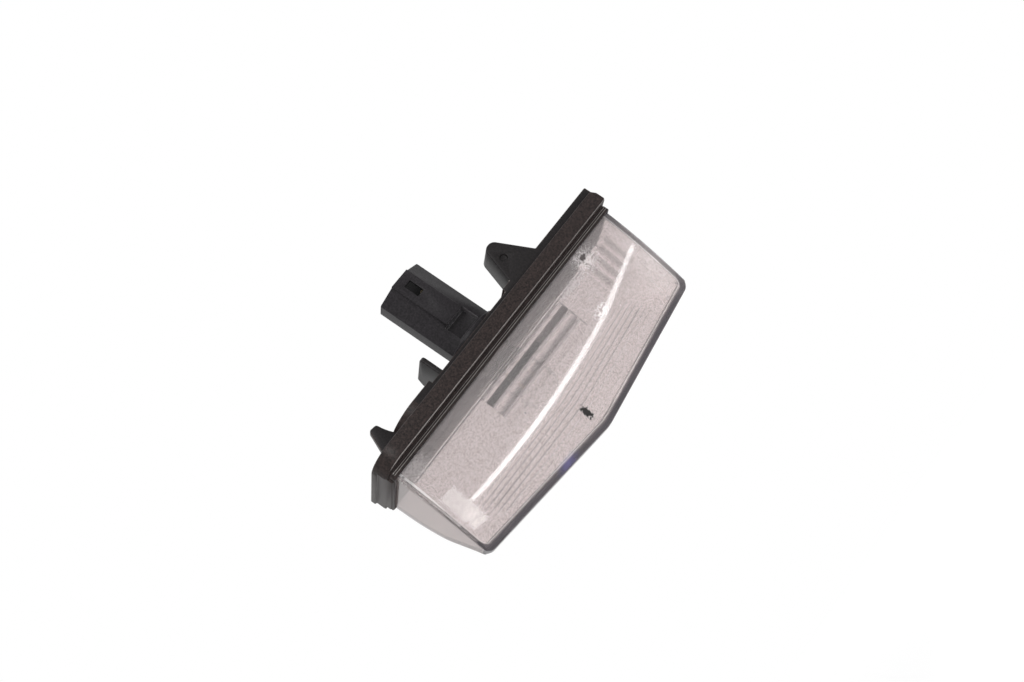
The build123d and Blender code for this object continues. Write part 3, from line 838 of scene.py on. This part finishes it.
def add_lens_marks(tree, outside, colour, clear):
    """Lays the marks over the outside of the near wall: the colour and the clearness with them."""
    mark_tree = lens_mark_tree()
    for middle, half, solid, ragged, grain, most, tint, scratched in lens_marks.values():
        shape = add_node(tree, "ShaderNodeGroup", {"node_tree": mark_tree}, {
            "Middle": (middle[0] * MM, 0, middle[1] * MM), "Half Size": (half[0] * MM, 1, half[1] * MM),
            "Solid": solid, "Ragged": ragged, "Grain Scale": 1 / (grain * MM), "Scratched": scratched,
        }).outputs["Mask"]
        shown = add_node(
            tree, "ShaderNodeMath", {"operation": "MULTIPLY"}, {0: shape, 1: outside}
        ).outputs[0]
        cover = add_node(tree, "ShaderNodeMath", {"operation": "MULTIPLY"}, {0: shown, 1: most}).outputs[0]
        colour = add_node(
            tree, "ShaderNodeMix", {"data_type": "RGBA"}, {"Factor": cover, "A": colour, "B": linear(tint)}
        ).outputs[2]
        clear = add_node(
            tree, "ShaderNodeMapRange", None, {"Value": cover, "To Min": clear, "To Max": 0.0}
        ).outputs["Result"]
    return colour, clear


def acrylic_lens():
    """PMMA, injection moulded and hazed by age: clear with a pinkish grey tint and a fine mottle, painted
    shade where the solid tip is seen through its length, painted highlight lines, and a tar fleck, grime and
    scuffs on the near wall."""
    material, tree = new_material("acrylic_moulded_hazed")
    place = add_node(tree, "ShaderNodeTexCoord").outputs["Object"]
    measures = (
        "near_outside", "border", "border_tint", "border_line", "end_face", "frosted",
        "flute_shade", "lip_thickness", "seam_thickness", "rib_shade", "fine_shade",
    )
    known = {}
    for name in measures:
        known[name] = add_node(tree, "ShaderNodeAttribute", {"attribute_name": name}).outputs["Fac"]
    outside = known["near_outside"]
    mottle = add_node(
        tree, "ShaderNodeTexNoise", None, {"Vector": place, "Scale": 1 / (mottle_grain * MM), "Detail": 5.0}
    ).outputs["Fac"]
    mottle = add_node(
        tree, "ShaderNodeMapRange", None,
        {"Value": mottle, "From Min": mottle_range[0], "From Max": mottle_range[1]},
    ).outputs["Result"]
    # Only the weathered near wall is mottled
    mottle = add_node(tree, "ShaderNodeMath", {"operation": "MULTIPLY"}, {0: mottle, 1: outside}).outputs[0]
    in_border = add_node(
        tree, "ShaderNodeMapRange", None,
        {"Value": known["border"], "From Min": border_fade[0], "From Max": border_fade[1]},
    ).outputs["Result"]
    # Painted shade in the border round the tip and the ends
    edge = add_node(
        tree, "ShaderNodeMath", {"operation": "MULTIPLY"}, {0: in_border, 1: known["border_tint"]}
    ).outputs[0]
    # Painted highlight: a bright line in the border, and on the lip and the seam
    bright_line = add_node(
        tree, "ShaderNodeMath", {"operation": "COMPARE"},
        {0: known["border"], 1: border_line_place, 2: known["border_line"]},
    ).outputs[0]
    for raised_line in ("lip_thickness", "seam_thickness"):
        faint = add_node(
            tree, "ShaderNodeMath", {"operation": "MULTIPLY"}, {0: known[raised_line], 1: faint_line}
        ).outputs[0]
        bright_line = add_node(
            tree, "ShaderNodeMath", {"operation": "MAXIMUM"}, {0: bright_line, 1: faint}
        ).outputs[0]
    # Each tint over the lens colour: how much of it there is, its colour, and its greatest share
    colour = linear(lens_colour)
    tints = (
        (mottle, "#a69c9c", 0.52),
        (known["frosted"], "#d5cccc", 0.5),
        # Painted shade in the first flute, between the ribs and between the fine flutes
        (known["flute_shade"], "#4a4149", 1.0),
        (known["rib_shade"], "#958b8d", 0.9),
        (known["fine_shade"], "#6f6667", 0.9),
        (known["end_face"], "#a19390", 0.9),
        # Painted shade of the border, and painted highlight lines
        (edge, "#5a545a", 1.0),
        (bright_line, "#fbf7f6", 1.0),
    )
    for amount, tint, most in tints:
        share = add_node(tree, "ShaderNodeMath", {"operation": "MULTIPLY"}, {0: amount, 1: most}).outputs[0]
        colour = add_node(
            tree, "ShaderNodeMix", {"data_type": "RGBA"}, {"Factor": share, "A": colour, "B": linear(tint)}
        ).outputs[2]
    hazed = add_node(
        tree, "ShaderNodeMath", {"operation": "MAXIMUM"}, {0: edge, 1: known["end_face"]}
    ).outputs[0]
    clear = add_node(
        tree, "ShaderNodeMapRange", None, {"Value": hazed, "To Min": plain_clear, "To Max": hazed_clear}
    ).outputs["Result"]
    clear = add_node(
        tree, "ShaderNodeMapRange", None, {"Value": bright_line, "To Min": clear, "To Max": line_clear}
    ).outputs["Result"]
    colour, clear = add_lens_marks(tree, outside, colour, clear)
    rough = add_node(
        tree, "ShaderNodeMapRange", None,
        {"Value": known["frosted"], "To Min": gloss_roughness, "To Max": frost_roughness},
    ).outputs["Result"]
    shader = add_node(
        tree, "ShaderNodeBsdfPrincipled", None,
        {"Base Color": colour, "Roughness": rough, "IOR": acrylic_ior, "Transmission Weight": clear},
    )
    add_node(tree, "ShaderNodeOutputMaterial", None, {"Surface": shader.outputs["BSDF"]})
    return material


def black_plastic(name, dark, dusty, roughness, shine):
    """Black moulding: a fine spark-eroded grain that breaks up the light, and dust caught in it."""
    material, tree = new_material(name)
    place = add_node(tree, "ShaderNodeTexCoord").outputs["Object"]
    dust = add_node(
        tree, "ShaderNodeTexNoise", None,
        {"Vector": place, "Scale": 1 / (dust_size * MM), "Detail": 4.0, "Roughness": 0.8},
    ).outputs["Fac"]
    spread = add_node(
        tree, "ShaderNodeMapRange", None,
        {"Value": dust, "From Min": dust_range[0], "From Max": dust_range[1]},
    ).outputs["Result"]
    colour = add_node(
        tree, "ShaderNodeMix", {"data_type": "RGBA"},
        {"Factor": spread, "A": linear(dark), "B": linear(dusty)},
    ).outputs[2]
    grain = add_node(
        tree, "ShaderNodeTexNoise", None, {"Vector": place, "Scale": 1 / (grain_size * MM), "Detail": 2.0}
    ).outputs["Fac"]
    normal = add_node(
        tree, "ShaderNodeBump", None,
        {"Strength": grain_strength, "Distance": grain_depth * MM, "Height": grain},
    ).outputs["Normal"]
    shader = add_node(
        tree, "ShaderNodeBsdfPrincipled", None,
        {
            "Base Color": colour, "Roughness": roughness, "IOR": 1.5, "Specular IOR Level": shine,
            "Normal": normal,
        },
    )
    add_node(tree, "ShaderNodeOutputMaterial", None, {"Surface": shader.outputs["BSDF"]})
    return material


def plain_finish(
    name, colour, roughness, metallic=0.0, transmission=0.0, ior=1.5, top_colour=None, top=(0, 1)
):
    """A small piece's finish, with faint mottling in its gloss and a colour of its own for its top end."""
    material, tree = new_material(name)
    place = add_node(tree, "ShaderNodeTexCoord").outputs["Object"]
    height = add_node(tree, "ShaderNodeSeparateXYZ", None, {"Vector": place}).outputs["Z"]
    at_top = add_node(
        tree, "ShaderNodeMapRange", None,
        {"Value": height, "From Min": top[0] * MM, "From Max": top[1] * MM},
    ).outputs["Result"]
    base = add_node(
        tree, "ShaderNodeMix", {"data_type": "RGBA"},
        {"Factor": at_top, "A": linear(colour), "B": linear(top_colour or colour)},
    ).outputs[2]
    mottle = add_node(
        tree, "ShaderNodeTexNoise", None, {"Vector": place, "Scale": 1 / (gloss_mottle * MM), "Detail": 3.0}
    ).outputs["Fac"]
    least, most = (1 - gloss_change) * roughness, (1 + gloss_change) * roughness
    rough = add_node(
        tree, "ShaderNodeMapRange", None, {"Value": mottle, "To Min": least, "To Max": most}
    ).outputs["Result"]
    shader = add_node(
        tree, "ShaderNodeBsdfPrincipled", None,
        {
            "Base Color": base, "Roughness": rough, "Metallic": metallic, "IOR": ior,
            "Transmission Weight": transmission,
        },
    )
    add_node(tree, "ShaderNodeOutputMaterial", None, {"Surface": shader.outputs["BSDF"]})
    return material


def dress(node, name, materials, edge_radius=0.0, finish_of=None):
    """Replaces a CAD node by its refined copy. With several materials, finish_of picks each face's."""
    piece = refined(node, name, edge_radius)
    piece.data.materials.clear()
    for material in materials:
        piece.data.materials.append(material)
    if finish_of:
        for face in piece.data.polygons:
            face.material_index = materials.index(finish_of(face.center / MM, face.normal))
    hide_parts(node)
    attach(piece, "root")
    return piece


def raise_beads(piece, finish):
    """Fine raised lines along the near side of the collar, coloured with the painted highlight finish."""
    shell = bmesh.new()
    shell.from_mesh(piece.data)
    low, high = collar_sides

    def collar_faces():
        return [
            face for face in shell.faces
            if face.normal.y < -side_facing and low < face.calc_center_median().y / MM < high
        ]

    for height in bead_heights:
        for cut in (height - bead_width / 2, height + bead_width / 2):
            faces = collar_faces()
            edges = {edge for face in faces for edge in face.edges}
            verts = {vert for face in faces for vert in face.verts}
            bmesh.ops.bisect_plane(
                shell, geom=[*verts, *edges, *faces], dist=WELD,
                plane_co=(0, 0, cut * MM), plane_no=(0, 0, 1),
            )
    raised = set()
    for face in collar_faces():
        middle = face.calc_center_median().z / MM
        if any(abs(middle - height) < bead_width / 2 for height in bead_heights):
            face.material_index = finish
            raised.update(face.verts)
    for vert in raised:
        vert.co.y -= bead_rise * MM
    shell.to_mesh(piece.data)
    shell.free()


def housing_finish(middle, normal):
    """Painted highlight on edges of the near side, clean inside the panel, painted lit grey behind the lens,
    else dusty.
    """
    # Painted highlight: a lighter finish on the near side's horizontal edges, where a lamp glints
    if normal.y < -highlight_facing and abs(normal.z) > highlight_facing and middle.y < lens_near:
        return housing_painted_highlight
    if middle.z > clean_above:
        return housing_clean
    # Painted light: the inside of the housing, seen through the lens, gets a lighter grey
    inside_x = abs(middle.x) < lens_half - end_wall + inside_slack
    inside_y = lens_near + lens_wall - inside_slack < middle.y < lens_far - lens_wall + inside_slack
    if inside_x and inside_y and middle.z < inside_below:
        return housing_inside_painted_lit
    return housing_black


def holder_finish(middle, normal):
    """Painted light in the relief below the latch cover, painted shade inside the plug socket, else satin.
    """
    in_relief = abs(middle.x - socket_axis[0]) < relief_half and middle.y < relief_near
    if in_relief and relief_heights[0] < middle.z < relief_heights[1]:
        if normal.z < -relief_under_facing or abs(normal.x) > relief_flank_facing:
            return holder_painted_lit
    to_axis = Vector(socket_axis) - Vector((middle.x, middle.y))
    if to_axis.dot(Vector((normal.x, normal.y))) > 0 and middle.z > socket_floor:
        return holder_shade
    return holder_black


make_lens(acrylic_lens())
# Polypropylene, moulded: dull near-black with brown dust, painted lit grey where light falls in through the
# lens, painted highlights on near-side edges and on the raised lines, cleaner inside the panel
housing_black = black_plastic(
    "polypropylene_moulded_dusty", "#0e0b0b", "#3a302e", roughness=0.4, shine=0.15
)
housing_inside_painted_lit = black_plastic(
    "polypropylene_moulded_inside_painted_lit", "#4d484a", "#555052", roughness=0.6, shine=0.2
)
housing_painted_highlight = black_plastic(
    "polypropylene_moulded_painted_highlight", "#6a6563", "#908a87", roughness=0.3, shine=0.5
)
housing_clean = black_plastic(
    "polypropylene_moulded_clean", "#0c0b0b", "#252122", roughness=0.4, shine=0.15
)
housing_finishes = (housing_black, housing_inside_painted_lit, housing_painted_highlight, housing_clean)
housing = dress(
    "housing", "housing_moulding", housing_finishes,
    edge_radius=0.25, finish_of=housing_finish,
)
raise_beads(housing, housing_finishes.index(housing_painted_highlight))
# Polyamide, moulded: a cooler black with a satin sheen, painted light on the relief below the latch cover,
# painted shade inside the plug socket
holder_black = black_plastic("polyamide_moulded_satin", "#100e10", "#2d2a2d", roughness=0.42, shine=0.15)
holder_shade = black_plastic("polyamide_moulded_shade", "#0b0a0b", "#100f10", roughness=0.6, shine=0.1)
holder_painted_lit = black_plastic("polyamide_moulded_painted_lit", "#474547", "#605e60", roughness=0.4, shine=0.3)
dress(
    "bulb_holder", "bulb_holder_moulding", (holder_black, holder_shade, holder_painted_lit),
    edge_radius=0.2, finish_of=holder_finish,
)
# Rubber, moulded: dead black and dull
seal_rubber = plain_finish("rubber_moulded", "#141414", 0.7)
dress("holder_seal", "holder_seal_ring", (seal_rubber,), edge_radius=0.1)
# Glass, blown: so thin that it bends light little, clear, with painted shade at the foot that stands in the
# socket
bulb_glass = plain_finish(
    "glass_blown", "#ffffff", 0.02, transmission=1.0, ior=1.2, top_colour="#6b6768", top=bulb_foot_painted_shade
)
dress("bulb_glass", "bulb_glass_envelope", (bulb_glass,))
# Drawn wires, and stamped brass darkened as painted shade of the plug socket: small metal glints
lead_wire = plain_finish("wire_drawn", "#b9a893", 0.3, metallic=1.0)
tungsten = plain_finish("tungsten_drawn", "#7d7c80", 0.4, metallic=1.0)
brass = plain_finish("brass_stamped_painted_shade", "#4a4335", 0.55, metallic=1.0)
dress("bulb_lead_near", "bulb_lead_near_wire", (lead_wire,))
dress("bulb_lead_far", "bulb_lead_far_wire", (lead_wire,))
make_filament(tungsten)
dress("terminal_near", "terminal_near_strip", (brass,), edge_radius=0.05)
dress("terminal_far", "terminal_far_strip", (brass,), edge_radius=0.05)


# Stage
def make_floor():
    """White floor far below the lamp, which takes its shadow and fades into the white further out."""
    mesh = bpy.data.meshes.new("studio_floor")
    reach = floor_size / 2
    corners = [(-reach, -reach, floor_level), (reach, -reach, floor_level)]
    corners += [(reach, reach, floor_level), (-reach, reach, floor_level)]
    mesh.from_pydata(corners, [], [(0, 1, 2, 3)])
    material, tree = new_material("paper_white_matt")
    place = add_node(tree, "ShaderNodeTexCoord").outputs["Object"]
    away = add_node(tree, "ShaderNodeVectorMath", {"operation": "LENGTH"}, {0: place}).outputs["Value"]
    fade = add_node(
        tree, "ShaderNodeMapRange", None,
        {"Value": away, "From Min": floor_fade[0], "From Max": floor_fade[1]},
    ).outputs["Result"]
    camera_ray = add_node(tree, "ShaderNodeLightPath").outputs["Is Camera Ray"]
    faded = add_node(tree, "ShaderNodeMath", {"operation": "MULTIPLY"}, {0: fade, 1: camera_ray}).outputs[0]
    paper = add_node(
        tree, "ShaderNodeBsdfPrincipled", None,
        {"Base Color": linear("#f7f7f7"), "Roughness": 0.9, "Specular IOR Level": 0.0},
    )
    white = add_node(tree, "ShaderNodeEmission", None, {"Color": linear("#ffffff"), "Strength": 1.0})
    mixed = add_node(
        tree, "ShaderNodeMixShader", None,
        {0: faded, 1: paper.outputs["BSDF"], 2: white.outputs["Emission"]},
    )
    add_node(tree, "ShaderNodeOutputMaterial", None, {"Surface": mixed.outputs["Shader"]})
    mesh.materials.append(material)
    put("studio_floor", mesh)


def make_world():
    """White surroundings: full white where seen, in gloss or through clear pieces too, softer as light."""
    world = bpy.data.worlds.new("white_room")
    bpy.context.scene.world = world
    world.use_nodes = True
    tree = world.node_tree
    tree.nodes.clear()
    path = add_node(tree, "ShaderNodeLightPath").outputs
    seen = add_node(
        tree, "ShaderNodeMath", {"operation": "MAXIMUM"},
        {0: path["Is Camera Ray"], 1: path["Is Glossy Ray"]},
    ).outputs[0]
    seen = add_node(
        tree, "ShaderNodeMath", {"operation": "MAXIMUM"}, {0: seen, 1: path["Is Transmission Ray"]}
    ).outputs[0]
    soft = add_node(tree, "ShaderNodeBackground", None, {"Color": linear("#ffffff"), "Strength": soft_light})
    white = add_node(tree, "ShaderNodeBackground", None, {"Color": linear("#ffffff"), "Strength": 1.0})
    mixed = add_node(
        tree, "ShaderNodeMixShader", None,
        {0: seen, 1: soft.outputs["Background"], 2: white.outputs["Background"]},
    )
    add_node(tree, "ShaderNodeOutputWorld", None, {"Surface": mixed.outputs["Shader"]})


def make_lamp(name, kind, place, aim, long_axis, settings):
    """A lamp at a place, turned towards its aim, with its long side along an axis."""
    lamp = bpy.data.lights.new(name, kind)
    for key, value in settings.items():
        setattr(lamp, key, value)
    holder = bpy.data.objects.new(name, lamp)
    back = (Vector(place) - Vector(aim)).normalized()
    side = Vector(long_axis)
    side = (side - side.dot(back) * back).normalized()
    turned = Matrix((side, back.cross(side), back)).transposed().to_4x4()
    holder.matrix_world = Matrix.Translation(Vector(place) * MM) @ turned
    holder.visible_camera = False
    bpy.context.scene.collection.objects.link(holder)


def make_camera():
    """Camera at the photograph's viewing angle."""
    camera = bpy.data.cameras.new("photo_camera")
    camera.sensor_width = sensor_width
    camera.lens = sensor_width * focal_pixels / picture_width
    camera.clip_start = camera_clip
    holder = bpy.data.objects.new("photo_camera", camera)
    axes = (Vector(camera_right), -Vector(camera_down), -Vector(camera_forward))
    turned = Matrix(axes).transposed().to_4x4()
    holder.matrix_world = Matrix.Translation(Vector(camera_place) * MM) @ turned
    bpy.context.scene.collection.objects.link(holder)
    bpy.context.scene.camera = holder


make_floor()
make_world()
make_camera()
bpy.context.scene.view_settings.view_transform = "Standard"
for name, (place, strength, degrees) in suns.items():
    settings = {"energy": strength, "angle": math.radians(degrees)}
    make_lamp(name, "SUN", place, lens_middle, (1, 0, 0), settings)
for name, (start, end, width, brightness) in bright_lamps.items():
    axis = (end[0] - start[0], 0, end[1] - start[1])
    middle = (start[0] + axis[0] / 2, start[1] + axis[2] / 2)
    length = math.hypot(axis[0], axis[2])
    make_lamp(name, "AREA", (middle[0], lamp_side, middle[1]), (middle[0], 0, middle[1]), axis, {
        "shape": "RECTANGLE", "size": length * MM, "size_y": width * MM,
        "energy": brightness * math.pi * length * width * MM ** 2,
    })
